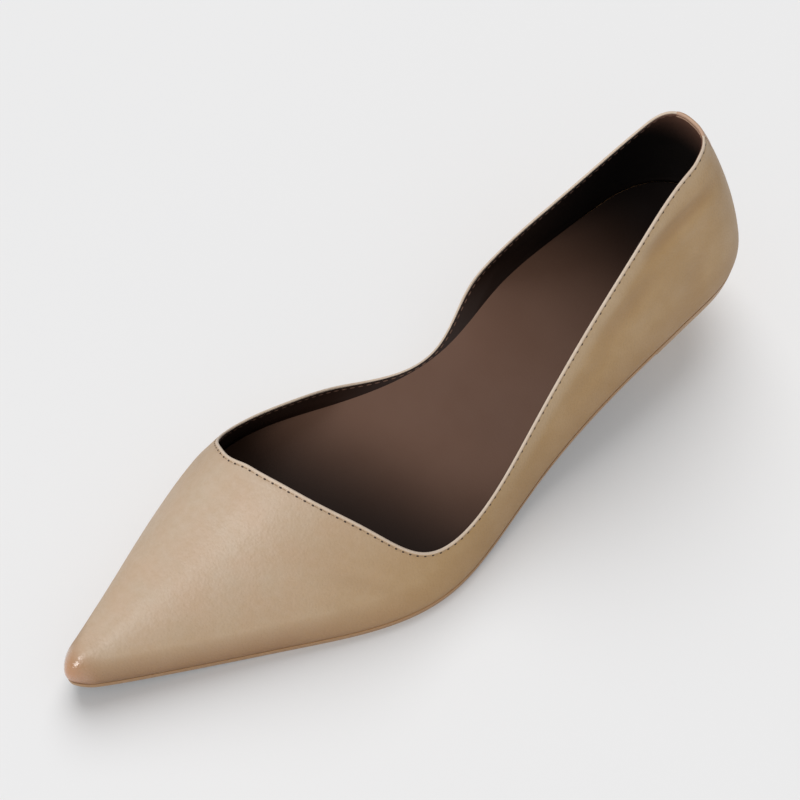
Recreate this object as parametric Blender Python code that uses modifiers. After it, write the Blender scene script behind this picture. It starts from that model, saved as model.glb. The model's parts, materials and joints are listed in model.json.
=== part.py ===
"""A pointed court shoe with a kitten heel, for the left foot, as separate pieces.

The upper is a thin leather shell drawn over a last. The last is described by cross-sections along its
length: each has a feather edge (where the upper turns under the foot) on the lateral and the medial side,
a crown above it, and a superellipse between them. Plan places are (x, from_heel): x points to the lateral
side, and from_heel runs from the back of the heel to the tip of the toe.
"""

import bmesh
import bpy
import numpy as np

MM = 0.001

# Driving sizes, in millimetres.
LENGTH = 255.0
HEEL_RISE = 26.0
WALL = 1.6
OUTSOLE = 2.7
SOCK = 2.0
GAP = 0.3

# Caps: the heel and the toe close as superellipses beyond these stations.
HEEL_CAP = 28.0
HEEL_CAP_POWER = 2.4
TOE_CAP = 249.0
TOE_CAP_POWER = 2.0

# Side line of the sole: flat under the ball, climbing to the heel seat, springing up at the toe.
BALL_BACK = 150.0
BALL_FRONT = 190.0
ARCH_BACK = 28.0
ARCH_POWER = 2.0
SEAT_FRONT = 60.0
SEAT_PITCH = 2.5
TOE_SPRING = 5.5

# The wall turns under at the feather edge. Over the medial arch it flares out, and above that it fades back.
TUCK = 0.9
TUCK_RISE = 3.5
FLARE_RISE = 11.0
FLARE_FADE = 40.0

# The last, a row for each cross-section. lateral and medial are the feather edge's distances from the long
# axis, spine is where the crown lies across, and crown is its height above the feather edge.
SECTION_COLUMNS = (
    "from_heel", "lateral", "medial", "spine", "crown", "side_power", "crown_power", "flare",
)
SECTIONS = (
    (0, 24.4, 23.0, 0.0, 75.5, 1.30, 1.28, 0.0),
    (28, 27.0, 25.0, 0.0, 75.5, 1.30, 1.28, 0.0),
    (50, 29.0, 25.0, 0.5, 74.5, 1.32, 1.32, 1.3),
    (75, 30.5, 21.5, 0.5, 72.0, 1.42, 1.38, 7.0),
    (100, 33.0, 15.5, -1.0, 67.5, 1.68, 1.34, 14.0),
    (125, 38.9, 26.5, -3.5, 60.5, 1.98, 1.22, 7.0),
    (145, 42.4, 38.0, -7.0, 53.5, 2.20, 1.10, 1.0),
    (160, 40.9, 43.2, -10.0, 49.0, 2.30, 1.05, 0.0),
    (178, 34.4, 43.6, -12.5, 43.7, 2.30, 1.10, 0.0),
    (196, 25.3, 37.5, -12.5, 36.0, 2.30, 1.40, 0.0),
    (214, 16.3, 29.3, -11.5, 28.6, 2.30, 1.75, 0.0),
    (230, 8.5, 21.9, -9.5, 21.3, 2.30, 2.05, 0.0),
    (242, 2.7, 16.8, -8.0, 15.5, 2.30, 2.30, 0.0),
    (249, -0.8, 13.9, -7.4, 12.5, 2.30, 2.35, 0.0),
    (255, -3.8, 11.5, -7.4, 10.0, 2.30, 2.35, 0.0),
)

# The topline, from the centre back along the lateral side, across the throat and back along the medial
# side. Each row has the cross-section that it lies on, its angle round that section (0 at the lateral
# feather edge, 90 at the crown, 180 at the medial feather edge), and the feather station that it faces.
TOPLINE_COLUMNS = ("from_heel", "round_degrees", "facing")
TOPLINE = (
    (0, 58, 0),
    (28, 56, 28),
    (55, 47, 55),
    (83, 37.5, 84),
    (109, 30.5, 112),
    (128, 29, 133),
    (144, 32.2, 152),
    (153, 39, 172),
    (162, 54, 196),
    (170, 68, 224),
    (175.3, 80, 255),
    (180.7, 98, 232),
    (180.2, 112, 212),
    (177, 127, 194),
    (169, 140, 176),
    (157, 147, 160),
    (143, 153, 144),
    (125, 166, 126),
    (104, 172, 104),
    (84, 168, 84),
    (62, 153, 62),
    (40, 137, 40),
    (20, 124, 20),
    (0, 122, 0),
)
ROUND_TO_MM = 60.0

# Mesh of the upper: columns round the foot, rows from the feather edge to the topline.
UPPER_COLUMNS = 112
UPPER_ROWS = 13
FINE_STEPS = 1200
PATH_STEPS = 80
TIP_CROWDING = 2.0
TIP_REACH = 14.0
FEATHER_CROWDING = 1.4

# Sole pieces: how far their edges lie inside the last's outline, where they start and end, and their meshes.
OUTSOLE_INSET = 0.5
INSOLE_INSET = 3.1
SOLE_START = 1.5
INSOLE_TOE = 244.0
HEEL_CAP_STATIONS = 10
RUN_STATIONS = 44
TOE_CAP_STATIONS = 5
SOLE_LANES = 6

# The pad under the medial arch, and how far its upper edge leans out per millimetre of height.
PAD_RISE = 6.5
PAD_STATION = 100.0
PAD_REACH = 32.0
PAD_LEAN = 0.85

# The heel: a seat under the sole, a waisted stem and a small tip with its own top piece.
HEEL_BREAST = 50.0
HEEL_INSET = 0.6
HEEL_LIP = 1.5
HEEL_WAIST_POWER = 2.2
HEEL_RINGS = 10
BREAST_STEPS = 6
SEAT_CENTRE = 26.0
TIP_CENTRE = 17.0
TIP_HALF_LENGTH = 8.5
TIP_HALF_WIDTH = 8.0
TOP_PIECE = 5.0
TOP_PIECE_POINTS = 40
TOP_PIECE_ROUNDING = 0.4


def smooth_curve(stations, values):
    """The natural cubic spline through the values at the stations, as a function of the station."""
    x = np.asarray(stations, float)
    y = np.asarray(values, float)
    step = np.diff(x)
    slope = np.diff(y) / step
    last = len(x) - 1
    system = np.eye(last + 1)
    right = np.zeros(last + 1)
    for i in range(1, last):
        system[i, i - 1 : i + 2] = step[i - 1], 2 * (step[i - 1] + step[i]), step[i]
        right[i] = 6 * (slope[i] - slope[i - 1])
    bend = np.linalg.solve(system, right)

    def at(station):
        station = np.clip(station, x[0], x[-1])
        i = np.clip(np.searchsorted(x, station, side="right") - 1, 0, last - 1)
        ahead = x[i + 1] - station
        past = station - x[i]
        cubic = (bend[i] * ahead**3 + bend[i + 1] * past**3) / (6 * step[i])
        start = (y[i] / step[i] - bend[i] * step[i] / 6) * ahead
        end = (y[i + 1] / step[i] - bend[i + 1] * step[i] / 6) * past
        return cubic + start + end

    return at


STATIONS = [row[0] for row in SECTIONS]
LAST = {
    name: smooth_curve(STATIONS, [row[column] for row in SECTIONS])
    for column, name in enumerate(SECTION_COLUMNS)
}


def feather_height(from_heel):
    """Height of the feather edge above the ground."""
    back = np.clip((BALL_BACK - from_heel) / (BALL_BACK - ARCH_BACK), 0, 1)
    climb = back**ARCH_POWER / (back**ARCH_POWER + (1 - back) ** ARCH_POWER)
    seat = np.clip((SEAT_FRONT - from_heel) / SEAT_FRONT, 0, 1)
    toe = np.clip((from_heel - BALL_FRONT) / (LENGTH - BALL_FRONT), 0, 1)
    return OUTSOLE + GAP + HEEL_RISE * climb + SEAT_PITCH * seat**2 + TOE_SPRING * toe**2


def half_width(from_heel, lateral):
    """Distance from the spine to the feather edge on the given side, before the caps narrow it."""
    spine = LAST["spine"](from_heel)
    return np.where(lateral, LAST["lateral"](from_heel) - spine, LAST["medial"](from_heel) + spine)


def on_last(x, from_heel):
    """Points of the last's surface over plan places, as x, y, z."""
    across = x - LAST["spine"](from_heel)
    along = from_heel - np.clip(from_heel, HEEL_CAP, TOE_CAP)
    beyond = np.where(along < 0, -along / HEEL_CAP, along / (LENGTH - TOE_CAP))
    power = np.where(along < 0, HEEL_CAP_POWER, TOE_CAP_POWER)
    ring = ((np.abs(across) / half_width(from_heel, across >= 0)) ** power + beyond**power) ** (1 / power)
    side = 1 - np.clip(ring, 0, 1) ** LAST["side_power"](from_heel)
    rise = LAST["crown"](from_heel) * side ** (1 / LAST["crown_power"](from_heel))
    flare = np.where(across < 0, LAST["flare"](from_heel), 0)
    flare = flare * np.sin(np.clip(rise / FLARE_RISE, 0, 1) * np.pi / 2)
    flare = flare * np.cos(np.clip((rise - FLARE_RISE) / FLARE_FADE, 0, 1) * np.pi / 2)
    tuck = TUCK * np.clip(1 - rise / TUCK_RISE, 0, 1) ** 2
    outward = (flare - tuck) / np.maximum(np.hypot(across, along), GAP)
    y = LENGTH / 2 - (from_heel + along * outward)
    return np.stack([x + across * outward, y, feather_height(from_heel) + rise], -1)


def girth(from_heel):
    """Length along the side of the last, with the round caps counted by their turn."""
    if from_heel < HEEL_CAP:
        return HEEL_CAP * np.arccos(1 - from_heel / HEEL_CAP)
    turned = np.arcsin(max(from_heel - TOE_CAP, 0) / (LENGTH - TOE_CAP))
    return HEEL_CAP * np.pi / 2 + min(from_heel, TOE_CAP) - HEEL_CAP + (LENGTH - TOE_CAP) * turned


TIP_GIRTH = girth(LENGTH)


def plan_place(along, round_angle):
    """Plan places at a girth along the side and an angle round the section there."""
    back = np.cos(np.clip(along / HEEL_CAP, 0, np.pi / 2))
    front = np.sin(np.clip((along - girth(TOE_CAP)) / (LENGTH - TOE_CAP), 0, np.pi / 2))
    narrowing = (1 - back**HEEL_CAP_POWER) ** (1 / HEEL_CAP_POWER)
    narrowing = narrowing * (1 - front**TOE_CAP_POWER) ** (1 / TOE_CAP_POWER)
    centre = HEEL_CAP + np.clip(along - girth(HEEL_CAP), 0, TOE_CAP - HEEL_CAP)
    ring = np.abs(np.cos(round_angle)) ** (2 / LAST["side_power"](centre))
    from_heel = centre + ((LENGTH - TOE_CAP) * front - HEEL_CAP * back) * ring
    lateral = round_angle <= np.pi / 2
    across = np.where(lateral, 1, -1) * half_width(from_heel, lateral) * narrowing * ring
    return np.stack([LAST["spine"](from_heel) + across, from_heel], -1)


def outline_place(reach):
    """Plan places on the feather edge, by the girth from the centre back round the lateral side."""
    lateral = reach <= TIP_GIRTH
    return plan_place(np.where(lateral, reach, 2 * TIP_GIRTH - reach), np.where(lateral, 0, np.pi))


def topline_places(count):
    """Plan places along the topline, and the feather places that they face."""
    rows = []
    past_tip = False
    for row in TOPLINE:
        place = dict(zip(TOPLINE_COLUMNS, row))
        facing = girth(place["facing"])
        reach = 2 * TIP_GIRTH - facing if past_tip else facing
        past_tip = past_tip or facing == TIP_GIRTH
        rows.append((girth(place["from_heel"]), np.radians(place["round_degrees"]), reach))
    rows = np.array(rows)
    before = rows[1] * (-1, 1, -1)
    after = rows[-2] * (-1, 1, -1) + (0, 0, 4 * TIP_GIRTH)
    rows = np.vstack([before, rows, after])
    chords = np.linalg.norm(np.diff(rows[:, :2] * (1, ROUND_TO_MM), axis=0), axis=1)
    knots = np.concatenate([[0], np.cumsum(np.sqrt(chords))])
    where = np.linspace(knots[1], knots[-2], count)
    along, round_angle, reach = (smooth_curve(knots, column)(where) for column in rows.T)
    return plan_place(np.abs(along), round_angle), outline_place(reach)


def lengths_along(path):
    """Distance of each point of a path from its start."""
    steps = np.linalg.norm(np.diff(path, axis=0), axis=1)
    return np.concatenate([[0], np.cumsum(steps)])


def resampled(path, lengths, wanted):
    """Points of a path at the wanted lengths along it."""
    return np.stack([np.interp(wanted, lengths, axis) for axis in path.T], -1)


def upper_columns():
    """The upper's outer surface: a closed ring of columns, each from the feather edge to the topline."""
    top, low = topline_places(FINE_STEPS)
    spacing = lengths_along(on_last(*top.T)) + lengths_along(on_last(*low.T))
    to_tip = np.hypot(low[:, 0] - low[low[:, 1].argmax(), 0], low[:, 1] - LENGTH)
    crowding = 1 + TIP_CROWDING * np.exp(-((to_tip[1:] / TIP_REACH) ** 2))
    spacing = np.concatenate([[0], np.cumsum(np.diff(spacing) * crowding)])
    wanted = np.linspace(0, spacing[-1], UPPER_COLUMNS, endpoint=False)
    share = np.linspace(0, 1, PATH_STEPS)[:, None] ** 2
    rows = np.linspace(0, 1, UPPER_ROWS) ** FEATHER_CROWDING
    columns = []
    for start, end in zip(resampled(low, spacing, wanted), resampled(top, spacing, wanted)):
        path = on_last(*(start + (end - start) * share).T)
        lengths = lengths_along(path)
        columns.append(resampled(path, lengths, rows * lengths[-1]))
    return np.array(columns)


def sole_stations(start, end):
    """Girths from start to end, closer together round the heel and the toe."""
    heel = np.linspace(0, girth(HEEL_CAP), HEEL_CAP_STATIONS, endpoint=False)
    run = np.linspace(girth(HEEL_CAP), girth(TOE_CAP), RUN_STATIONS, endpoint=False)
    toe = np.linspace(girth(TOE_CAP), TIP_GIRTH, TOE_CAP_STATIONS)
    stations = np.concatenate([heel, run, toe])
    inside = stations[(stations > start) & (stations < end)]
    return np.concatenate([[start], inside, [end]])


def inset_edges(girths, inset):
    """Lateral and medial plan edges of a sole piece that lies inside the last's outline."""
    ahead = GAP / 2
    edges = []
    for side in (0, np.pi):
        middle = plan_place(girths, np.full(len(girths), side))
        before = plan_place(np.maximum(girths - ahead, 0), np.full(len(girths), side))
        after = plan_place(np.minimum(girths + ahead, TIP_GIRTH), np.full(len(girths), side))
        tangent = after - before
        tangent = tangent / np.linalg.norm(tangent, axis=1, keepdims=True)
        inward = tangent[:, ::-1] * (-1, 1) if side == 0 else tangent[:, ::-1] * (1, -1)
        edges.append(middle + inward * inset)
    return edges


def lanes_between(lateral, medial):
    """Plan places of a grid: a row for each station, with lanes from the lateral to the medial edge."""
    share = np.linspace(0, 1, SOLE_LANES + 1)[:, None]
    return lateral[:, None] + (medial - lateral)[:, None] * share


def raised(plan, height):
    """Points over plan places at the given heights."""
    return np.stack([plan[..., 0], LENGTH / 2 - plan[..., 1], height], -1)


def new_object(name, mesh, material, parts, root):
    shape = bpy.data.objects.new(name, mesh)
    shape.data.materials.append(material)
    shape.parent = root
    parts.objects.link(shape)
    return shape


def leather(name, colour, roughness):
    material = bpy.data.materials.new(name)
    material.use_nodes = True
    shader = material.node_tree.nodes["Principled BSDF"]
    shader.inputs["Base Color"].default_value = (*colour, 1)
    shader.inputs["Roughness"].default_value = roughness
    shader.inputs["Metallic"].default_value = 0
    return material


def mesh_from(name, build):
    """A smooth mesh that the build function fills, with its faces pointing out."""
    grid = bmesh.new()
    build(grid)
    bmesh.ops.recalc_face_normals(grid, faces=grid.faces)
    mesh = bpy.data.meshes.new(name)
    grid.to_mesh(mesh)
    grid.free()
    mesh.shade_smooth()
    return mesh


def place_points(grid, points):
    """Vertices for an array of points in millimetres, in the array's own layout."""
    flat = [grid.verts.new(point * MM) for point in points.reshape(-1, 3)]
    return np.array(flat, object).reshape(points.shape[:-1])


def bridge(grid, first, second, closed):
    """Quads between two rows of vertices."""
    count = len(first)
    for i in range(count if closed else count - 1):
        following = (i + 1) % count
        grid.faces.new((first[i], first[following], second[following], second[i]))


def shell(name, columns):
    """An open ring of columns as a surface, facing away from the foot."""

    def build(grid):
        verts = place_points(grid, columns)
        for row, following in zip(verts.T, verts.T[1:]):
            bridge(grid, row, following, closed=True)

    mesh = mesh_from(name, build)
    across = np.array([face.normal.z for face in mesh.polygons])
    if across.sum() < 0:
        mesh.flip_normals()
    return mesh


def slab(name, top, bottom):
    """A closed plate between two grids of the same layout."""

    def build(grid):
        upper = place_points(grid, top)
        lower = place_points(grid, bottom)
        for layer in (upper, lower):
            for row, following in zip(layer, layer[1:]):
                bridge(grid, row, following, closed=False)
        for rim in (np.s_[0, :], np.s_[-1, :], np.s_[:, 0], np.s_[:, -1]):
            bridge(grid, upper[rim], lower[rim], closed=False)

    return mesh_from(name, build)


def make_upper(parts, root):
    """The lasted shell: one wall, open at the topline and underneath."""
    colour = leather("beige_leather", (0.52, 0.36, 0.22), 0.42)
    upper = new_object("upper", shell("upper", upper_columns()), colour, parts, root)
    wall = upper.modifiers.new("wall", "SOLIDIFY")
    wall.thickness = WALL * MM
    wall.offset = -1
    wall.use_even_offset = True
    wall.use_quality_normals = True
    return upper


def make_outsole(parts, root):
    """The thin sole plate, bent along the side line."""
    plan = lanes_between(*inset_edges(sole_stations(SOLE_START, TIP_GIRTH - GAP), OUTSOLE_INSET))
    top = feather_height(plan[..., 1]) - GAP
    mesh = slab("outsole", raised(plan, top), raised(plan, top - OUTSOLE))
    return new_object("outsole", mesh, leather("dark_sole", (0.05, 0.035, 0.03), 0.5), parts, root)


def arch_pad(plan):
    """Extra height of the footbed, which swells towards the medial edge of the arch."""
    along = np.exp(-(((plan[..., 1] - PAD_STATION) / PAD_REACH) ** 2))
    across = np.linspace(0, 1, plan.shape[1])
    return PAD_RISE * along * across**2 * (3 - 2 * across)


def make_insole(parts, root):
    """The covered footbed, inside the upper's wall, with its arch pad."""
    lateral, medial = inset_edges(sole_stations(SOLE_START, girth(INSOLE_TOE)), INSOLE_INSET)
    plan = lanes_between(lateral, medial)
    pad = arch_pad(plan)
    lean = np.zeros_like(plan)
    lean[..., 0] = -PAD_LEAN * pad
    low = feather_height(plan[..., 1])
    mesh = slab("insole", raised(plan + lean, low + SOCK + pad), raised(plan, low))
    return new_object("insole", mesh, leather("brown_leather", (0.1, 0.055, 0.04), 0.5), parts, root)


def heel_seat():
    """Plan outline of the heel's seat: round the back from breast to breast, then across the breast."""
    girths = sole_stations(0, girth(HEEL_BREAST))
    lateral, medial = inset_edges(girths, OUTSOLE_INSET + HEEL_INSET)
    breast = np.linspace(medial[-1], lateral[-1], BREAST_STEPS, endpoint=False)[1:]
    return np.vstack([lateral[::-1], medial[1:], breast])


def tip_outline(angles, out=0.0):
    """Plan outline of the heel's tip at angles round its centre."""
    across = (TIP_HALF_WIDTH + out) * np.cos(angles)
    along = (TIP_HALF_LENGTH + out) * np.sin(angles)
    return np.stack([across, TIP_CENTRE + along], -1)


def make_heel(parts, root):
    """The covered heel, lofted from the seat to the tip with a waist."""
    seat = heel_seat()
    tip = tip_outline(np.arctan2(seat[:, 1] - SEAT_CENTRE, seat[:, 0]))
    ceiling = feather_height(seat[:, 1]) - OUTSOLE - 2 * GAP
    floor = TOP_PIECE + GAP
    rings = [raised(seat, ceiling)]
    for down in np.linspace(0, 1, HEEL_RINGS):
        plan = seat + (tip - seat) * (1 - (1 - down) ** HEEL_WAIST_POWER)
        rings.append(raised(plan, (ceiling - HEEL_LIP) * (1 - down) + floor * down))
    pairs = (len(seat) - BREAST_STEPS + 2) // 2

    def build(grid):
        verts = place_points(grid, np.array(rings))
        for ring, following in zip(verts, verts[1:]):
            bridge(grid, ring, following, closed=True)
        grid.faces.new(verts[-1])
        lateral = list(verts[0, :pairs])
        medial = list(verts[0, 2 * pairs - 2 : pairs - 2 : -1])
        breast = list(verts[0, 2 * pairs - 1 :])
        grid.faces.new((lateral[0], lateral[1], medial[1], medial[0], *breast))
        for i in range(2, pairs - 1):
            grid.faces.new((lateral[i - 1], lateral[i], medial[i], medial[i - 1]))
        grid.faces.new((lateral[-2], lateral[-1], medial[-2]))

    mesh = mesh_from("heel", build)
    return new_object("heel", mesh, leather("heel_leather", (0.5, 0.34, 0.21), 0.45), parts, root)


def make_top_piece(parts, root):
    """The wearing tip, flat on the ground."""
    curve = bpy.data.curves.new("top_piece", "CURVE")
    curve.dimensions = "2D"
    curve.fill_mode = "BOTH"
    curve.extrude = (TOP_PIECE / 2 - TOP_PIECE_ROUNDING) * MM
    curve.bevel_depth = TOP_PIECE_ROUNDING * MM
    curve.bevel_resolution = 1
    spline = curve.splines.new("POLY")
    spline.points.add(TOP_PIECE_POINTS - 1)
    spline.use_cyclic_u = True
    angles = np.linspace(0, 2 * np.pi, TOP_PIECE_POINTS, endpoint=False)
    for point, (x, from_heel) in zip(spline.points, tip_outline(angles, -TOP_PIECE_ROUNDING)):
        point.co = (x * MM, (LENGTH / 2 - from_heel) * MM, 0, 1)
    rubber = leather("top_piece_rubber", (0.03, 0.025, 0.022), 0.6)
    top_piece = new_object("top_piece", curve, rubber, parts, root)
    top_piece.location.z = TOP_PIECE / 2 * MM
    return top_piece


def main():
    for old in list(bpy.data.objects):
        bpy.data.objects.remove(old, do_unlink=True)
    parts = bpy.data.collections.new("kitten_heel_shoe")
    bpy.context.scene.collection.children.link(parts)
    root = bpy.data.objects.new("shoe_origin", None)
    parts.objects.link(root)
    # The long axis runs through the heel, so the footprint is centred across by moving the whole shoe.
    across = upper_columns()[..., 0]
    root.location.x = -(across.min() + across.max()) / 2 * MM
    for make in (make_upper, make_outsole, make_insole, make_heel, make_top_piece):
        make(parts, root)


main()
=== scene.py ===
# %% [markdown]
# # A pointed court shoe with a kitten heel
#
# This lesson dresses a finished construction model. The frame holds five plain solids: upper, outsole,
# insole, heel and top piece. Each one is already the right size and in the right place, so the work left
# is what the eye sees: a folded leather edge, a row of stitches, a lining, soft creases and real finishes.

# %% Load the construction model
import json
import math

import bmesh
import bpy
import numpy as np
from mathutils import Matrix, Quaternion, Vector

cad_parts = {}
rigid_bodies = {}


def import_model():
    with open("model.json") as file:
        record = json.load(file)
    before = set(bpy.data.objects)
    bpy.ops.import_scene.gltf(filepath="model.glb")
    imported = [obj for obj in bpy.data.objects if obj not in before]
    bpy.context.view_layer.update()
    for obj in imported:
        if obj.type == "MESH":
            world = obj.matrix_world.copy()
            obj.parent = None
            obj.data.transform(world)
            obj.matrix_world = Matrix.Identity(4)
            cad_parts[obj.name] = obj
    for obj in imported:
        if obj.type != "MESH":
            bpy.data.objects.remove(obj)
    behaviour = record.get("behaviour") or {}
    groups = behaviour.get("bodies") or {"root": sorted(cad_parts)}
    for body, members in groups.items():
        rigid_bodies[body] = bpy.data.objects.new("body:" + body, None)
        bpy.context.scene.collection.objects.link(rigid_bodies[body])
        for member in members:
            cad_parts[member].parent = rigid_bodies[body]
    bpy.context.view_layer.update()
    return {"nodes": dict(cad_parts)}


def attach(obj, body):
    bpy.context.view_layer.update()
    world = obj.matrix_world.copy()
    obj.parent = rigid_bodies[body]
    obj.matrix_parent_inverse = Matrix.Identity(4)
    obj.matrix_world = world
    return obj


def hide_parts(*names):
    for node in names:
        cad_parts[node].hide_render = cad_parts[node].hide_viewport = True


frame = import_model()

scene = bpy.context.scene
MM = 0.001
print("nodes:", sorted(frame["nodes"]))

# %% [markdown]
# ## The camera
#
# The photograph looks down on the shoe from in front of its outer side. A camera can be given by a point to
# look at, an azimuth, an elevation and a distance, which reads better than a bare matrix. It stands where
# the photograph's camera stood. The lens is longer, so that the one shoe fills the picture.

# %% Camera
VIEW_TARGET = Vector((-7.4, 2.4, 30.0)) * MM
VIEW_AZIMUTH = math.radians(51.4)
VIEW_ELEVATION = math.radians(60.8)
VIEW_DISTANCE = 663 * MM
VIEW_ROLL = math.radians(-1.1)
VIEW_LENS = 96.8
NEAR_CLIP = 10 * MM

toward_camera = Vector((
    math.sin(VIEW_AZIMUTH) * math.cos(VIEW_ELEVATION),
    -math.cos(VIEW_AZIMUTH) * math.cos(VIEW_ELEVATION),
    math.sin(VIEW_ELEVATION),
))
camera = bpy.data.objects.new("camera", bpy.data.cameras.new("camera"))
camera.location = VIEW_TARGET + toward_camera * VIEW_DISTANCE
level = (-toward_camera).to_track_quat("-Z", "Y")
camera.rotation_mode = "QUATERNION"
camera.rotation_quaternion = level @ Quaternion((0, 0, 1), VIEW_ROLL)
camera.data.lens = VIEW_LENS
camera.data.clip_start = NEAR_CLIP
scene.collection.objects.link(camera)
scene.camera = camera
print("camera at mm:", [round(c / MM) for c in camera.location])

# %% [markdown]
# ## Reading the upper's wall
#
# A lasted upper is one smooth sheet from the feather edge, where it meets the sole, up to the topline, where
# the foot goes in. The solid in the frame is made of loose triangles, so its corners are merged first. Its
# faces then fall into groups that meet at sharp edges, and the largest group is the outer face. Starting at
# the topline and stepping down from neighbour to neighbour finds its rows, so no measuring is needed.

# %% Find the rows of the outer wall
MERGE_DISTANCE = 0.01 * MM
SHARP_EDGE = math.radians(50)


def merged(node):
    """A construction node's mesh with its loose triangles joined at their corners."""
    mesh = bmesh.new()
    mesh.from_mesh(frame["nodes"][node].data)
    bmesh.ops.remove_doubles(mesh, verts=mesh.verts, dist=MERGE_DISTANCE)
    return mesh


def spread(start, waiting, neighbours):
    """Everything in waiting that can be reached from start, which is taken out of waiting."""
    found = [start]
    waiting.discard(start)
    for item in found:
        fresh = [other for other in neighbours(item) if other in waiting]
        waiting.difference_update(fresh)
        found.extend(dict.fromkeys(fresh))
    return found


def across_soft_edges(face):
    soft = [edge for edge in face.edges if edge.calc_face_angle(0) < SHARP_EDGE]
    return [other for edge in soft for other in edge.link_faces]


def along_edges(vert):
    return [edge.other_vert(vert) for edge in vert.link_edges]


def groups(items, neighbours):
    """The items in groups of neighbours."""
    waiting = set(items)
    return [spread(item, waiting, neighbours) for item in items if item in waiting]


def ring_order(verts):
    """The points of one closed row, in order, from the one furthest back."""
    waiting = set(verts)
    path = [max(verts, key=lambda vert: vert.co.y)]
    waiting.discard(path[0])
    while waiting:
        path.append(next(vert for vert in along_edges(path[-1]) if vert in waiting))
        waiting.discard(path[-1])
    return np.array([vert.co for vert in path])


def facing(row, guide):
    """The row turned round, and flipped if need be, so that its points face the guide's."""
    ways = [np.roll(way, shift, axis=0) for way in (row, row[::-1]) for shift in range(len(row))]
    return min(ways, key=lambda way: np.linalg.norm(way - guide, axis=1).sum())


def wall_rows():
    """The outer face's points, by row from the feather edge up, each row from the centre back."""
    mesh = merged("upper")
    regions = groups(list(mesh.faces), across_soft_edges)
    outer = set(max(regions, key=lambda region: sum(face.calc_area() for face in region)))
    verts = {vert for face in outer for vert in face.verts}
    rim = [vert for vert in mesh.verts if vert in verts and not outer.issuperset(vert.link_faces)]
    loops = groups(rim, along_edges)
    row = max(loops, key=lambda loop: sum(vert.co.z for vert in loop) / len(loop))
    first = ring_order(row)
    quarter = len(first) // 4
    if first[quarter, 0] < first[-quarter, 0]:
        first = np.roll(first[::-1], 1, axis=0)
    rows = [first]
    while True:
        verts.difference_update(row)
        row = [vert for vert in dict.fromkeys(v for up in row for v in along_edges(up)) if vert in verts]
        if not row:
            break
        rows.append(facing(ring_order(row), rows[-1]))
    mesh.free()
    return np.array(rows[::-1])


WALL = wall_rows()
ROWS, COLUMNS = WALL.shape[:2]
print("outer wall:", ROWS, "rows of", COLUMNS, "points")

# %% [markdown]
# ## A smooth surface through those rows
#
# Leather doesn't show facets. A cubic spline through the points, closed round the shoe and open from bottom
# to top, gives a smooth point anywhere on the wall. Blender's subdivision would also smooth the mesh, but a
# formula can be asked for any place, so stitches and edges can follow it exactly.

# %% Spline surface of the wall
NORMAL_STEP = 0.02


def spline_basis(places, count, closed):
    """How much each control point counts at the places, for a cubic spline of that many points."""
    start = np.floor(places).astype(int)
    if not closed:
        start = np.clip(start, 0, count - 2)
    t = places - start
    cubic = np.stack([(1 - t) ** 3, 3 * t**3 - 6 * t**2 + 4, 3 * t + 3 * t**2 - 3 * t**3 + 1, t**3], -1) / 6
    basis = np.zeros((len(places), count + 2))
    line = np.arange(len(places))
    for k in range(4):
        column = (start + k - 1) % count + 1 if closed else start + k
        np.add.at(basis, (line, column), cubic[:, k])
    if not closed:
        for end, inner, step in ((0, 1, 1), (count + 1, count, -1)):
            basis[:, inner] += 2 * basis[:, end]
            basis[:, inner + step] -= basis[:, end]
    return basis[:, 1:-1]


ROUND_FIT = np.linalg.inv(spline_basis(np.arange(COLUMNS), COLUMNS, True))
UP_FIT = np.linalg.inv(spline_basis(np.arange(ROWS), ROWS, False))


def on_wall(u, v):
    """Points on the wall: u counts columns round the shoe, v counts rows up from the feather edge."""
    u, v = np.broadcast_arrays(u, v)
    round_weights = spline_basis(u.ravel() % COLUMNS, COLUMNS, True) @ ROUND_FIT
    up_weights = spline_basis(v.ravel(), ROWS, False) @ UP_FIT
    columns = round_weights @ WALL.transpose(1, 0, 2).reshape(COLUMNS, -1)
    points = np.einsum("nr,nrk->nk", up_weights, columns.reshape(-1, ROWS, 3))
    return points.reshape(*u.shape, 3)


def unit(vectors):
    return vectors / np.linalg.norm(vectors, axis=-1, keepdims=True)


def wall_frame(u, v):
    """Unit directions on the wall: round the shoe, up towards the topline, and out of the wall."""
    along = on_wall(u + NORMAL_STEP, v) - on_wall(u - NORMAL_STEP, v)
    up = on_wall(u, v + NORMAL_STEP) - on_wall(u, v - NORMAL_STEP)
    return unit(along), unit(up), unit(np.cross(up, along))


error = np.abs(on_wall(*np.meshgrid(np.arange(COLUMNS), np.arange(ROWS))) - WALL).max()
print("spline passes through the wall's points within mm:", round(error / MM, 4))

# %% [markdown]
# ## Distances from the topline
#
# A shoemaker marks the stitch line with a gauge that runs along the edge, so everything near the edge is best
# given as a distance down from the topline and a distance out of the wall. The rows don't run square to the
# topline everywhere, so the length along a column is corrected by the slant between the two.

# %% Places by their distance from the topline
FINE_STEPS = 160
FINE_ROWS = np.linspace(ROWS - 1, 0, FINE_STEPS + 1)
STATIONS = 4 * COLUMNS


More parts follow.
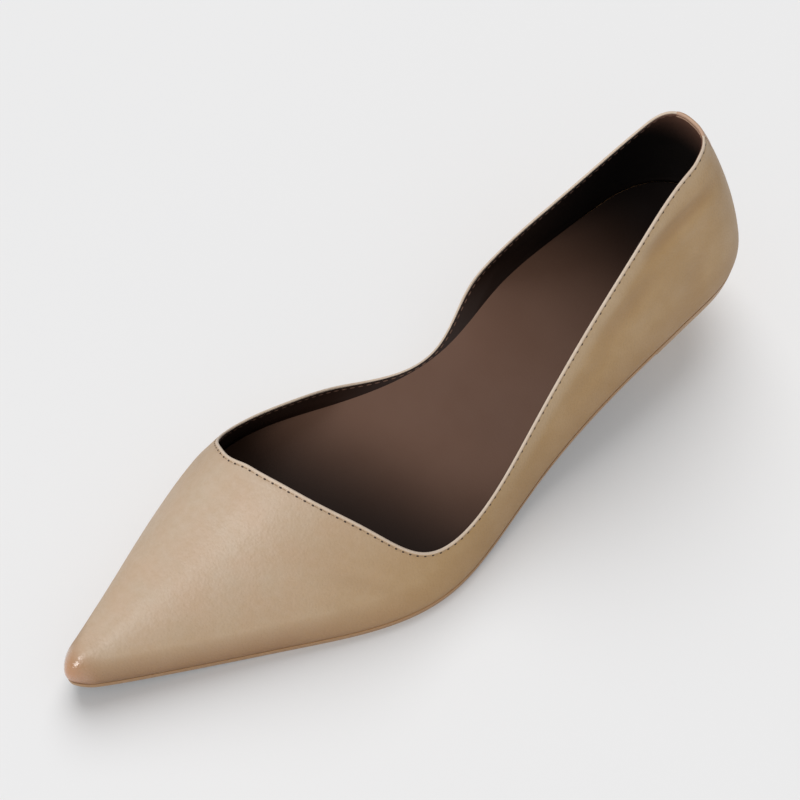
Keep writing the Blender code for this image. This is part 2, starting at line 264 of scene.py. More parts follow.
class Columns:
    """Columns of the wall at chosen places round the shoe, with lengths measured down from the topline."""

    def __init__(self, u):
        self.u = np.asarray(u, float)
        paths = on_wall(self.u[:, None], FINE_ROWS[None])
        steps = np.linalg.norm(np.diff(paths, axis=1), axis=2)
        self.lengths = np.hstack([np.zeros((len(self.u), 1)), np.cumsum(steps, axis=1)])
        top = np.full(len(self.u), ROWS - 1.0)
        along, self.up, _ = wall_frame(self.u, top)
        self.slant = np.linalg.norm(np.cross(along, self.up), axis=1)
        self.height = self.lengths[:, -1] * self.slant

    def places(self, down):
        """Places up the wall, counted in rows, at distances down from the topline."""
        wanted = np.clip(down, 0, None) / self.slant
        return np.array([np.interp(w, length, FINE_ROWS) for w, length in zip(wanted, self.lengths)])

    def points(self, down, out):
        """Points at distances down from the topline, or above it, and out of the wall's face."""
        down = np.broadcast_to(down, self.u.shape)
        v = self.places(down)
        above = np.clip(-down, 0, None)[:, None] * self.up
        normal = wall_frame(self.u, v)[2]
        return on_wall(self.u, v) + above + normal * np.broadcast_to(out, self.u.shape)[:, None]


whole_round = Columns(np.linspace(0, COLUMNS, STATIONS, endpoint=False))
topline = whole_round.points(0, 0)
topline_steps = np.linalg.norm(topline - np.roll(topline, 1, axis=0), axis=1)
TOPLINE_LENGTH = topline_steps.sum()


def along_topline(lengths):
    """Places round the shoe at lengths along the topline from the centre back."""
    knots = np.concatenate([np.cumsum(topline_steps) - topline_steps[0], [TOPLINE_LENGTH]])
    places = np.concatenate([whole_round.u, [COLUMNS]])
    return np.interp(lengths % TOPLINE_LENGTH, knots, places)


print("topline length in mm:", round(TOPLINE_LENGTH / MM))
wall_heights = whole_round.height / MM
print("wall height in mm, least and most:", wall_heights.min().round(1), wall_heights.max().round(1))

# %% [markdown]
# ## Finishes
#
# Leather has colour, grain and sheen at different scales: broad cloudy patches from dyeing, small pebbled
# cells, and a soft gloss from the finishing coat. Image textures could hold all this, but noise and cell
# textures measured in metres stay sharp at any distance and need no unwrapping. Every pattern here reads
# Object coordinates, so it keeps its real size on every piece.

# %% A small kit for building finishes
# A Mix node has sockets of one name for each kind of data, so they are told apart by their numbers.
MIX_FIRST, MIX_SECOND, MIX_RESULT = 6, 7, 2
GRADE_FIRST, GRADE_SECOND = 2, 3
SCREEN_FULL, SCREEN_GAMMA = 255, 2.2
# Most of a noise texture's values lie between these two.
NOISE_LOW, NOISE_HIGH = 0.3, 0.7
CELL_SOFTNESS = 0.4


def screen_colour(red, green, blue):
    """A colour as the eye reads it on a screen, 0 to 255, turned into the linear values that light uses."""
    return tuple((c / SCREEN_FULL) ** SCREEN_GAMMA for c in (red, green, blue)) + (1.0,)


class Finish:
    """A Principled material whose pattern nodes are added one at a time."""

    def __init__(self, name):
        self.material = bpy.data.materials.new(name)
        self.material.use_nodes = True
        self.tree = self.material.node_tree
        self.shader = self.tree.nodes["Principled BSDF"]
        self.place = self.tree.nodes.new("ShaderNodeTexCoord").outputs["Object"]

    def noise(self, size, detail=2.0):
        """Cloudy noise whose patches are about the given size."""
        node = self.tree.nodes.new("ShaderNodeTexNoise")
        node.inputs["Scale"].default_value = 1 / size
        node.inputs["Detail"].default_value = detail
        self.tree.links.new(self.place, node.inputs["Vector"])
        return node.outputs["Fac"]

    def cells(self, size):
        """Rounded cells of about the given size, dark in the middle of each."""
        node = self.tree.nodes.new("ShaderNodeTexVoronoi")
        node.feature = "SMOOTH_F1"
        node.inputs["Scale"].default_value = 1 / size
        node.inputs["Smoothness"].default_value = CELL_SOFTNESS
        self.tree.links.new(self.place, node.inputs["Vector"])
        return node.outputs["Distance"]

    def attribute(self, name):
        """A value that the mesh itself carries."""
        node = self.tree.nodes.new("ShaderNodeAttribute")
        node.attribute_name = name
        return node.outputs["Fac"]

    def fading(self, direction, start, end):
        """Runs softly from 0 to 1 between two distances along a direction."""
        node = self.tree.nodes.new("ShaderNodeVectorMath")
        node.operation = "DOT_PRODUCT"
        node.inputs[1].default_value = direction
        self.tree.links.new(self.place, node.inputs[0])
        faded = self.ranged(node.outputs["Value"], 0, 1, start, end)
        faded.node.interpolation_type = "SMOOTHSTEP"
        return faded

    def ranged(self, value, low, high, start=NOISE_LOW, end=NOISE_HIGH):
        """The value between start and end, stretched to run from low to high."""
        node = self.tree.nodes.new("ShaderNodeMapRange")
        for socket, setting in (("From Min", start), ("From Max", end), ("To Min", low), ("To Max", high)):
            node.inputs[socket].default_value = setting
        self.tree.links.new(value, node.inputs["Value"])
        return node.outputs["Result"]

    def mixed(self, amount, first, second):
        """One colour turning into another as the amount goes from 0 to 1."""
        node = self.tree.nodes.new("ShaderNodeMix")
        node.data_type = "RGBA"
        self.tree.links.new(amount, node.inputs[0])
        for index, colour in ((MIX_FIRST, first), (MIX_SECOND, second)):
            if isinstance(colour, tuple):
                node.inputs[index].default_value = colour
            else:
                self.tree.links.new(colour, node.inputs[index])
        return node.outputs[MIX_RESULT]

    def graded(self, amount, first, second):
        """One number turning into another as the amount goes from 0 to 1."""
        node = self.tree.nodes.new("ShaderNodeMix")
        self.tree.links.new(amount, node.inputs[0])
        for index, number in ((GRADE_FIRST, first), (GRADE_SECOND, second)):
            if isinstance(number, float):
                node.inputs[index].default_value = number
            else:
                self.tree.links.new(number, node.inputs[index])
        return node.outputs[0]

    def bump(self, height, depth, strength, under=None):
        """Fine relief of the given depth, on top of any relief under it."""
        node = self.tree.nodes.new("ShaderNodeBump")
        node.inputs["Distance"].default_value = depth
        node.inputs["Strength"].default_value = strength
        self.tree.links.new(height, node.inputs["Height"])
        if under:
            self.tree.links.new(under, node.inputs["Normal"])
        return node.outputs["Normal"]

    def use(self, **sockets):
        """Puts colours, values or patterns on the shader's sockets, named as on the shader."""
        for name, value in sockets.items():
            socket = self.shader.inputs[name.replace("_", " ")]
            if isinstance(value, bpy.types.NodeSocket):
                self.tree.links.new(value, socket)
            else:
                socket.default_value = value
        return self.material


print("finish kit ready")

# %% [markdown]
# ### Beige upper leather
#
# The upper is smooth nude calf. Its top is a little paler, a painted sheen where soft light would reflect,
# and its sides are warmer and cloudy. The creases carry painted shade, and near the feather edge, where it is
# pulled round, it is burnished and carries painted shade. A band below the topline behind the vamp has a
# painted highlight. It is amber at the tip of the toe, where it is stretched and polished, and pale on the
# folded edge of the topline. Those places are values that the mesh carries, because they follow the shoe's
# shape and not a texture.

# %% Upper leather finish
# The top's two tones are paler than the sides' tones: a painted sheen on the faces that look up.
NUDE_TOP_PAINTED_SHEEN = screen_colour(204, 183, 160)
NUDE_CLOUD_PAINTED_SHEEN = screen_colour(199, 175, 150)
NUDE_SIDE = screen_colour(176, 141, 95)
SIDE_CLOUD = screen_colour(184, 151, 109)
# Painted shade in the crease troughs.
CREASE_PAINTED_SHADE = screen_colour(150, 116, 80)
NUDE_WARM = screen_colour(205, 173, 146)
# A painted highlight on the band just below the topline, behind the vamp.
COLLAR_PAINTED_HIGHLIGHT = screen_colour(196, 172, 142)
# Burnish with painted shade near the feather edge, where the leather turns under, strongest before the ball.
BURNISH_AND_PAINTED_SHADE = screen_colour(140, 99, 62)
AMBER = screen_colour(192, 128, 82)
PALE_EDGE = screen_colour(226, 207, 188)
HEEL_CLOUD = screen_colour(180, 148, 111)
SHEEN = (0.44, 0.56)
POLISHED = 0.2
COAT, TIP_COAT = 0.05, 0.9
CLOUD_SIZE = 38 * MM
PATCH_SIZE, PATCH_RANGE = 15 * MM, (0.38, 0.66)
SHEEN_SIZE = 14 * MM
BLUSH_SIZE, BLUSH_MOST = 9 * MM, 0.45
MOTTLE_SIZE, MOTTLE_MOST = 2.2 * MM, 0.18
FINE_DETAIL = 3.0
# The size of a relief's bumps, their depth and their strength.
GRAIN = (0.9 * MM, 0.12 * MM, 0.8)
PORES = (0.4 * MM, 0.08 * MM, 0.6)


def nude_leather(name, light, dark, placed):
    """Smooth dyed calf. placed says whether the mesh carries the values for its sides and edges."""
    leather = Finish(name)
    clouds = leather.ranged(leather.noise(CLOUD_SIZE, FINE_DETAIL), 0, 1)
    colour = leather.mixed(clouds, light, dark)
    blush = leather.ranged(leather.noise(BLUSH_SIZE), 0, BLUSH_MOST)
    colour = leather.mixed(blush, colour, NUDE_WARM)
    if placed:
        patches = leather.ranged(leather.noise(PATCH_SIZE, FINE_DETAIL), 0, 1, *PATCH_RANGE)
        # Sides lose the top's painted sheen; collar is a painted highlight, crease painted shade, feather
        # burnish and shade.
        for place, tone in (
            ("side", leather.mixed(patches, NUDE_SIDE, SIDE_CLOUD)),
            ("collar_highlight", COLLAR_PAINTED_HIGHLIGHT),
            ("crease", CREASE_PAINTED_SHADE),
            ("feather", BURNISH_AND_PAINTED_SHADE),
            ("tip", AMBER),
            ("edge", PALE_EDGE),
        ):
            colour = leather.mixed(leather.attribute(place), colour, tone)
    mottle = leather.ranged(leather.noise(MOTTLE_SIZE, FINE_DETAIL), 0, MOTTLE_MOST)
    colour = leather.mixed(mottle, colour, NUDE_SIDE)
    grain = leather.bump(leather.cells(GRAIN[0]), *GRAIN[1:])
    grain = leather.bump(leather.noise(PORES[0], FINE_DETAIL), *PORES[1:], grain)
    sheen = leather.ranged(leather.noise(SHEEN_SIZE), *SHEEN)
    coat = COAT
    if placed:
        sheen = leather.graded(leather.attribute("polish"), sheen, POLISHED)
        coat = leather.graded(leather.attribute("polish"), COAT, TIP_COAT)
    leather.use(Base_Color=colour, Roughness=sheen, Normal=grain, Specular_IOR_Level=0.4)
    return leather.use(Coat_Weight=coat, Coat_Roughness=0.12)


upper_finish = nude_leather("nude_calf", NUDE_TOP_PAINTED_SHEEN, NUDE_CLOUD_PAINTED_SHEEN, True)
heel_finish = nude_leather("nude_calf_heel", NUDE_SIDE, HEEL_CLOUD, False)
print("made", upper_finish.name, "and", heel_finish.name)

# %% [markdown]
# ### Brown linings, dark sole, thread and rubber
#
# The lining is thin dark brown leather with a finer grain than the upper's. The footbed is covered in the
# same kind of leather, more red and rubbed to a dull shine. Painted shade darkens it under the vamp and in
# the heel, so soft fades run along the shoe and leave the middle paler. The lining has painted shade in the
# heel too, and a painted pool of light at the very back. The sole plate and the heel's tip are dense and
# dark, with the fine speckle of moulded rubber, and the shade in a needle hole is painted as a dark dot.

# %% Lining and footbed finishes
# Painted shade for the footbed under the vamp and in the heel, and for the lining in the heel.
PAINTED_SHADE_BROWN = screen_colour(50, 34, 26)
HEEL_PAINTED_SHADE = screen_colour(22, 15, 12)
# A painted pool of light on the lining at the very back of the heel.
PAINTED_BACK_LIGHT = screen_colour(118, 85, 71)
LINING_TONES = (screen_colour(48, 33, 26), screen_colour(41, 28, 22))
FOOTBED_TONES = (screen_colour(106, 79, 65), screen_colour(99, 72, 58))
BROWN_CLOUD_SIZE = 30 * MM
BROWN_SHEEN_SIZE, BROWN_SHEEN = 11 * MM, (-0.03, 0.04)
BROWN_GRAIN = (0.6 * MM, 0.05 * MM, 0.35)
BROWN_WAVES, WAVE_DETAIL = (2.5 * MM, 0.06 * MM, 0.12), 4.0
# Each fade of painted light or shade has a direction, the distances along it in millimetres where a tone
# starts and where it is full, and the tone.
# The footbed's painted shade: behind the throat, towards the heel, and darkest in the heel.
FOOTBED_PAINTED_SHADE = (
    ((0.47, -0.88, 0.0), -9, 30, PAINTED_SHADE_BROWN),
    ((0.0, 1.0, 0.0), 32, 114, PAINTED_SHADE_BROWN),
    ((-0.2, 0.98, 0.0), 72, 112, HEEL_PAINTED_SHADE),
)
# The lining's painted shade in the heel, and painted light at the very back.
LINING_PAINTED_LIGHT_AND_SHADE = (
    ((0.0, 1.0, 0.0), 30, 95, HEEL_PAINTED_SHADE),
    ((0.35, 0.60, 0.72), 110, 132, PAINTED_BACK_LIGHT),
)


def brown_leather(name, light, dark, roughness, painted_light_and_shade):
    """Thin matte leather whose colour fades into painted light and shade along the shoe."""
    leather = Finish(name)
    clouds = leather.ranged(leather.noise(BROWN_CLOUD_SIZE, FINE_DETAIL), 0, 1)
    colour = leather.mixed(clouds, light, dark)
    for direction, start, end, tone in painted_light_and_shade:
        colour = leather.mixed(leather.fading(direction, start * MM, end * MM), colour, tone)
    grain = leather.bump(leather.cells(BROWN_GRAIN[0]), *BROWN_GRAIN[1:])
    grain = leather.bump(leather.noise(BROWN_WAVES[0], WAVE_DETAIL), *BROWN_WAVES[1:], grain)
    low, high = (roughness + change for change in BROWN_SHEEN)
    sheen = leather.ranged(leather.noise(BROWN_SHEEN_SIZE), low, high)
    return leather.use(Base_Color=colour, Roughness=sheen, Normal=grain, Specular_IOR_Level=0.22)


lining_finish = brown_leather("brown_lining", *LINING_TONES, 0.6, LINING_PAINTED_LIGHT_AND_SHADE)
footbed_finish = brown_leather("red_brown_footbed", *FOOTBED_TONES, 0.54, FOOTBED_PAINTED_SHADE)
print("made", lining_finish.name, "and", footbed_finish.name)

# %% Sole, rubber, edge paint and thread finishes
MOULDED_CLOUD_SIZE = 1.2 * MM
SPECKLE = (0.4 * MM, 0.05 * MM, 0.4)
WEAR_SIZE, WEAR = 8 * MM, 0.06
THREAD_CLOUD_SIZE = 0.35 * MM
TWIST = (0.2 * MM, 0.05 * MM, 0.5)


def moulded(name, light, dark, roughness):
    """A dense plain surface with a fine speckle, worn to an uneven gloss."""
    rubber = Finish(name)
    clouds = rubber.ranged(rubber.noise(MOULDED_CLOUD_SIZE, FINE_DETAIL), 0, 1)
    colour = rubber.mixed(clouds, light, dark)
    speckle = rubber.bump(rubber.noise(SPECKLE[0], FINE_DETAIL), *SPECKLE[1:])
    wear = rubber.ranged(rubber.noise(WEAR_SIZE), roughness - WEAR, roughness + WEAR)
    return rubber.use(Base_Color=colour, Roughness=wear, Normal=speckle)


def twisted_thread(name, light, dark):
    """Dull sewing thread, mottled by its twist."""
    thread = Finish(name)
    colour = thread.mixed(thread.ranged(thread.noise(THREAD_CLOUD_SIZE), 0, 1), light, dark)
    twist = thread.bump(thread.noise(TWIST[0], FINE_DETAIL), *TWIST[1:])
    return thread.use(Base_Color=colour, Roughness=0.7, Normal=twist)


sole_finish = moulded("dark_sole", screen_colour(70, 52, 42), screen_colour(56, 41, 33), 0.55)
rubber_finish = moulded("tip_rubber", screen_colour(48, 40, 36), screen_colour(38, 32, 29), 0.6)
thread_finish = twisted_thread("nude_thread", screen_colour(176, 148, 118), screen_colour(158, 130, 102))
# Dark dots of painted shade in the needle holes, made with the thread's finish.
hole_shade_finish = twisted_thread("needle_hole_shade", screen_colour(70, 52, 40), screen_colour(56, 41, 32))
brown_thread_finish = twisted_thread("brown_thread", screen_colour(112, 82, 66), screen_colour(92, 66, 52))
edge_finish = moulded("tan_edge_paint", screen_colour(180, 140, 99), screen_colour(170, 130, 90), 0.45)
print("made", [finish.name for finish in (sole_finish, rubber_finish, edge_finish)])
print("made", [finish.name for finish in (thread_finish, hole_shade_finish, brown_thread_finish)])

# %% [markdown]
# ## Making pieces from loops of points
#
# A wall with a rounded edge is one closed outline, drawn up the outside, over the edge and down the inside,
# and repeated at every place round the shoe. Bridging those outlines gives a closed skin. An open strip, such
# as the tab at the back, has the same outline but stops at two ends, which are filled in.

# %% Loft closed outlines
def add_piece(name, mesh, material):
    """An object for one piece of the shoe, shaded smooth and in one finish."""
    mesh.materials.clear()
    mesh.materials.append(material)
    mesh.shade_smooth()
    piece = bpy.data.objects.new(name, mesh)
    scene.collection.objects.link(piece)
    return piece


def lofted(name, outlines, closed_round):
    """A closed skin over outlines: an array of outline points by places round the shoe."""
    count, stations = outlines.shape[:2]
    index = np.arange(count * stations).reshape(count, stations)
    following = np.roll(index, -1, axis=0)
    quads = np.stack([index, np.roll(index, -1, axis=1), np.roll(following, -1, axis=1), following], -1)
    faces = quads if closed_round else quads[:, :-1]
    faces = faces.reshape(-1, 4).tolist()
    if not closed_round:
        for end in index[:, [0, -1]].T.tolist():
            faces += [[end[k], end[k + 1], end[-2 - k], end[-1 - k]] for k in range(count // 2 - 1)]
    mesh = bpy.data.meshes.new(name)
    mesh.from_pydata(outlines.reshape(-1, 3).tolist(), [], faces)
    skin = bmesh.new()
    skin.from_mesh(mesh)
    bmesh.ops.recalc_face_normals(skin, faces=skin.faces)
    skin.to_mesh(mesh)
    skin.free()
    return mesh


def carry(mesh, name, values):
    """Stores a value for each point of the mesh, for its finish to read."""
    stored = mesh.attributes.new(name, "FLOAT", "POINT")
    stored.data.foreach_set("value", np.asarray(values, np.float32).ravel())


print("loft ready")

# %% [markdown]
# ## The upper's leather
#
# The outer leather is about a millimetre thick. Along the topline its edge is folded in and hammered, which
# leaves a soft roll with a pale crown, and the stitch line below it pulls the leather into a shallow groove.
# A worn or lasted upper also has a few broad creases. They are listed one by one, each one a soft trough
# along a short line, with a low ridge on both sides where the leather has gone.

# %% Relief of the upper: fold, stitch groove and creases
LEATHER = 0.72 * MM
EDGE_RADIUS = LEATHER / 2
FOLD_RISE = 0.06 * MM
FOLD_DOWN = 0.65 * MM
FOLD_WIDTH = 0.4 * MM
STITCH_DOWN = 1.25 * MM
GROOVE_DEPTH = 0.12 * MM
GROOVE_WIDTH = 0.4 * MM
CALM_REACH = 4 * MM

# Each crease runs between two points given in millimetres from the shoe's origin.
CREASE_COLUMNS = ("start", "end", "width", "depth")
CREASES = (
    ((40, -30, 9), (20, -60, 36), 3.5, 0.20),
    ((38, -44, 9), (16, -72, 33), 3.0, 0.15),
    ((-42, -36, 9), (-26, -62, 36), 3.2, 0.15),
    ((14, 108, 75), (18.5, 74, 69), 3.4, 0.85),
    ((20, 80, 62), (24, 52, 50), 4.6, 0.50),
    ((24, 60, 47), (28, 34, 33), 4.2, 0.28),
    ((24, 98, 56), (27, 88, 40), 6.0, 0.30),
    ((-25, 78, 40), (-18, 82, 62), 6.0, 0.25),
)
# The ridges' height as a share of the depth, and their place and width as shares of the crease's width.
RIDGE_SHARE = 0.35
RIDGE_PLACE, RIDGE_WIDTH = 1.8, 0.8
END_SHARE, END_CURVE = 0.02, 0.7


def bell(distance, centre, width):
    """A smooth hump, 1 at its centre."""
    return np.exp(-(((distance - centre) / width) ** 2))


def rising(distance, start, reach):
    """Runs from 0 at the start to 1 after the reach."""
    return np.clip((distance - start) / reach, 0, 1)


def crease_relief(points):
    """How far the creases push the leather out, or in, at each point."""
    relief = np.zeros(points.shape[:-1])
    for row in CREASES:
        crease = dict(zip(CREASE_COLUMNS, row))
        start = np.array(crease["start"]) * MM
        run = np.array(crease["end"]) * MM - start
        share = np.clip((points - start) @ run / (run @ run), 0, 1)
        away = np.linalg.norm(points - start - share[..., None] * run, axis=-1) / (crease["width"] * MM)
        fading = np.sin(np.pi * np.clip(share, END_SHARE, 1 - END_SHARE)) ** END_CURVE
        trough = bell(away, 0, 1) - RIDGE_SHARE * bell(away, RIDGE_PLACE, RIDGE_WIDTH)
        relief -= crease["depth"] * MM * trough * fading
    return relief


def upper_relief(points, down):
    """How far the fold, the stitch groove and the creases move the leather's face."""
    fold = FOLD_RISE * bell(down, FOLD_DOWN, FOLD_WIDTH)
    groove = GROOVE_DEPTH * bell(down, STITCH_DOWN, GROOVE_WIDTH)
    return fold - groove + crease_relief(points) * rising(down, STITCH_DOWN, CALM_REACH)


print("creases placed by hand:", len(CREASES))

# %% [markdown]
# The rows are close together near the edge, where the roll and the groove need them, and then spread out
# evenly down to the sole. The last row is pulled down over the joint with the sole, most of all at the tip of
# the toe, where a shoemaker gathers the leather and tucks it in.

# %% Skin of the upper leather
NEAR_ROWS = np.array((0.36, 0.5, 0.65, 0.8, 0.95, 1.1, 1.22, 1.35, 1.48, 1.6, 1.8, 2.2, 2.9)) * MM
# A wall lower than this many times the near rows' reach gets them closer together.
LOW_WALL = 2.5
FAR_ROWS = 72
INNER_ROWS = 14
EDGE_TURNS = np.radians((20, 45, 70, 90, 110, 135, 160))
SEAT_OVERLAP = 0.8 * MM
SEAT_GAP = 0.2 * MM
TIP_SEAT_START, TIP_SEAT_REACH = 119 * MM, 3.5 * MM
TIP_OVERLAP = 0.8 * MM
TIP_TUCK = 0.3 * MM


def rows_down(columns, near, count):
    """Distances down from the topline by row and column: the near ones, then on to the feather edge."""
    room = np.minimum(1, columns.height / (LOW_WALL * near[-1]))
    close = near[0] + (near - near[0])[:, None] * room
    share = np.linspace(0, 1, count + 1)[1:, None]
    return np.vstack([close, close[-1] + (columns.height - close[-1]) * share])


def over_the_edge(columns, top, out, radius):
    """Rows that turn over an edge of the given radius, whose crown lies at top, starting at out."""
    turns = zip(1 - np.sin(EDGE_TURNS), 1 - np.cos(EDGE_TURNS))
    return [columns.points(top + radius * below, out - radius * inward) for below, inward in turns]


outer_down = rows_down(whole_round, NEAR_ROWS, FAR_ROWS)
flat_points = np.array([whole_round.points(down, 0) for down in outer_down])
relief = upper_relief(flat_points, outer_down)
outer_face = [whole_round.points(down, out) for down, out in zip(outer_down, relief)]
tip_seat = rising(-outer_face[-1][:, 1], TIP_SEAT_START, TIP_SEAT_REACH)
outer_face[-1] = whole_round.points(outer_down[-1], relief[-1] - TIP_TUCK * tip_seat)
outer_face[-1][:, 2] -= SEAT_OVERLAP + TIP_OVERLAP * tip_seat
inner_down = rows_down(whole_round, np.array([EDGE_RADIUS]), INNER_ROWS)
inner_face = [whole_round.points(down, -LEATHER) for down in inner_down]
inner_face[-1][:, 2] -= SEAT_GAP
rolled = over_the_edge(whole_round, 0, 0, EDGE_RADIUS)
outlines = np.array(outer_face[::-1] + rolled + inner_face)
upper_mesh = lofted("upper_leather", outlines, True)
print("upper leather:", len(upper_mesh.polygons), "faces")
print("relief in mm:", (relief.min() / MM).round(2), "to", (relief.max() / MM).round(2))

# %% [markdown]
# Next come the values that the leather's finish reads, one for each place that has a tone of its own or a
# painted sheen, highlight or shade. Each is 1 where its tone is strongest and fades to 0 over a distance that
# can be measured on the shoe. They are kept apart from the finish, so a tone can be moved without touching a
# single node.

# %% Values that the leather carries
SIDE_STARTS, SIDE_ENDS, SIDE_LOST_AT_TOE = 0.85, 0.40, 0.62
COLLAR_WIDTH, COLLAR_FADE, COLLAR_HIGHLIGHT_MOST = 3.5 * MM, 4 * MM, 0.55
CREASE_SHADE_DEPTH, CREASE_SHADE_MOST = 0.5 * MM, 0.45
FEATHER_REACH, FEATHER_CURVE = 14 * MM, 0.8
FEATHER_MOST, FEATHER_MORE_AT_TOE = 0.36, 0.62
TIP_START, TIP_REACH = 118.5 * MM, 8.5 * MM
TIP_CURVE, TIP_MOST = 1.5, 0.75
PALE_WIDTH, PALE_FADE, PALE_MOST = 0.2 * MM, 0.3 * MM, 0.85
POLISH_START, POLISH_REACH = 120.5 * MM, 2.5 * MM
POLISH_LOWEST, POLISH_RISE = 9 * MM, 4 * MM
BALL, BALL_REACH = 25 * MM, 45 * MM
VAMP_REACH = 30 * MM

toward_toe = -outlines[..., 1]
before_ball = rising(toward_toe, BALL, BALL_REACH)
behind_vamp = rising(-toward_toe, 0, VAMP_REACH)
outline_down = np.vstack([outer_down[::-1], np.zeros((len(rolled), STATIONS)), inner_down])
outer_rows = slice(0, len(outer_face))
outward = np.array([wall_frame(whole_round.u, whole_round.places(down))[2] for down in outer_down])[::-1]

# The sides, as the wall turns from facing up, lose the top's painted sheen.
side_without_painted_sheen = np.zeros(outlines.shape[:2])
side_without_painted_sheen[outer_rows] = np.clip((SIDE_STARTS - outward[..., 2]) / (SIDE_STARTS - SIDE_ENDS), 0, 1)
# The band just below the topline, behind the vamp, takes a painted highlight.
to_collar_highlight = (1 - rising(outline_down, COLLAR_WIDTH, COLLAR_FADE)) * behind_vamp
# The crease troughs are darkened with painted shade, fully where they are deepest.
painted_crease_shade = np.zeros(outlines.shape[:2])
painted_crease_shade[outer_rows] = rising(-crease_relief(flat_points), 0, CREASE_SHADE_DEPTH)[::-1]
# Darker towards the feather edge: burnish and painted shade where the leather turns under.
feather_burnish_and_shade = (1 - rising(whole_round.height - outline_down, 0, FEATHER_REACH)) ** FEATHER_CURVE
to_tip = rising(toward_toe, TIP_START, TIP_REACH) ** TIP_CURVE
to_edge = np.ones(outlines.shape[:2])
to_edge[outer_rows] = 1 - rising(outer_down, EDGE_RADIUS + PALE_WIDTH, PALE_FADE)[::-1]
to_polish = rising(toward_toe, POLISH_START, POLISH_REACH)
above_sole = rising(outlines[..., 2], POLISH_LOWEST, POLISH_RISE)

carry(upper_mesh, "side", side_without_painted_sheen * (1 - SIDE_LOST_AT_TOE * before_ball))
carry(upper_mesh, "collar_highlight", COLLAR_HIGHLIGHT_MOST * to_collar_highlight)
carry(upper_mesh, "crease", CREASE_SHADE_MOST * painted_crease_shade)
carry(upper_mesh, "feather", (FEATHER_MOST + FEATHER_MORE_AT_TOE * before_ball) * feather_burnish_and_shade)
carry(upper_mesh, "tip", TIP_MOST * to_tip)
carry(upper_mesh, "edge", PALE_MOST * to_edge)
carry(upper_mesh, "polish", to_polish * above_sole)
print("carried values:", [stored.name for stored in upper_mesh.attributes if stored.data_type == "FLOAT"])

# %% Upper leather piece
upper_leather = add_piece("upper_leather", upper_mesh, upper_finish)
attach(upper_leather, "root")
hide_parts("upper")
print("placed", upper_leather.name)

# %% [markdown]
# ## The lining
#
# Inside the leather lies a thin brown lining. It stops a little below the folded edge, so the pale roll shows
# all round the opening. It is built the same way as the leather, further in.

# %% Lining piece
LINING = 0.86 * MM
LINING_EDGE = 0.4 * MM
LINING_DOWN = 0.5 * MM
LINING_SKIVED = 5 * MM
LINING_NEAR = (LINING_DOWN + LINING_EDGE / 2) + np.array((0, 0.5, 1.2, 2.2, 3.4, 4.8)) * MM
LINING_FACE = -LEATHER - 0.02 * MM
LINING_ROWS = 34


def lining_surface(down):
    """How far out of the wall's face the lining's inner side lies. It is pared thin towards its edge."""
    pared = rising(down, LINING_NEAR[0], LINING_SKIVED)
    return LINING_FACE - LINING_EDGE - (LINING - LINING_EDGE) * pared


lining_down = rows_down(whole_round, LINING_NEAR, LINING_ROWS)
behind_down = rows_down(whole_round, LINING_NEAR[:1], INNER_ROWS)
behind = [whole_round.points(down, LINING_FACE) for down in behind_down]
turned = over_the_edge(whole_round, LINING_DOWN, LINING_FACE, LINING_EDGE / 2)
inside = [whole_round.points(down, lining_surface(down)) for down in lining_down]
lining_mesh = lofted("upper_lining", np.array(behind[::-1] + turned + inside), True)
upper_lining = add_piece("upper_lining", lining_mesh, lining_finish)
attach(upper_lining, "root")
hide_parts("upper")
print("lining:", len(lining_mesh.polygons), "faces")

# %% [markdown]
# ## The tab at the centre back
#
# The two ends of the folded edge meet at the back of the heel, under a short strip of leather that is bent
# over the topline. Its edges are pared thin, so the strip fades into the wall instead of ending in a step.

# %% Back tab piece
TAB_WIDTH = 12 * MM
TAB_OUTSIDE = 8 * MM
TAB_INSIDE = 1.6 * MM
TAB_THICK = 0.14 * MM
TAB_PROUD = 0.03 * MM
TAB_STATIONS = 25
TAB_TURNS = np.radians(np.linspace(0, 180, 13))
TAB_STEPS = 12
# How much of the thickness is pared away, and how suddenly towards the sides and the ends.
PARED, SIDE_PARING, END_PARING = 0.8, 10, 30
TAB_LIGHT = screen_colour(201, 164, 142)
TAB_DARK = screen_colour(190, 153, 128)

tab_across = np.linspace(-1, 1, TAB_STATIONS)
tab_columns = Columns(along_topline(tab_across * TAB_WIDTH / 2))
tab_radius = EDGE_RADIUS + TAB_PROUD


def tab_path():
    """The strip's line down, out and round: up the outside, over the fold and down the lining."""
    for down in np.linspace(TAB_OUTSIDE, EDGE_RADIUS, TAB_STEPS)[:-1]:
        yield down, TAB_PROUD, 0.0
    for turn in TAB_TURNS:
        yield EDGE_RADIUS - np.sin(turn) * tab_radius, np.cos(turn) * tab_radius - EDGE_RADIUS, turn
    for down in np.linspace(LINING_DOWN + LINING_EDGE, TAB_INSIDE, TAB_STEPS):
        yield down, lining_surface(down) - TAB_PROUD, math.pi


def tab_layer(thick):
    """The strip's rows at a thickness above what it lies on, pared towards its ends and sides."""
    path = list(tab_path())
    rows = []
    for (down, out, turn), end in zip(path, np.linspace(-1, 1, len(path))):
        pared = np.maximum(np.abs(tab_across) ** SIDE_PARING, abs(end) ** END_PARING)
        lift = thick * (1 - PARED * pared)
        rows.append(tab_columns.points(down - np.sin(turn) * lift, out + np.cos(turn) * lift))
    return rows


tab_mesh = lofted("back_tab", np.array(tab_layer(TAB_THICK) + tab_layer(0.0)[::-1]), False)
tab_finish = nude_leather("nude_calf_tab", TAB_LIGHT, TAB_DARK, False)
back_tab = add_piece("back_tab", tab_mesh, tab_finish)
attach(back_tab, "root")
print("tab:", len(tab_mesh.polygons), "faces")

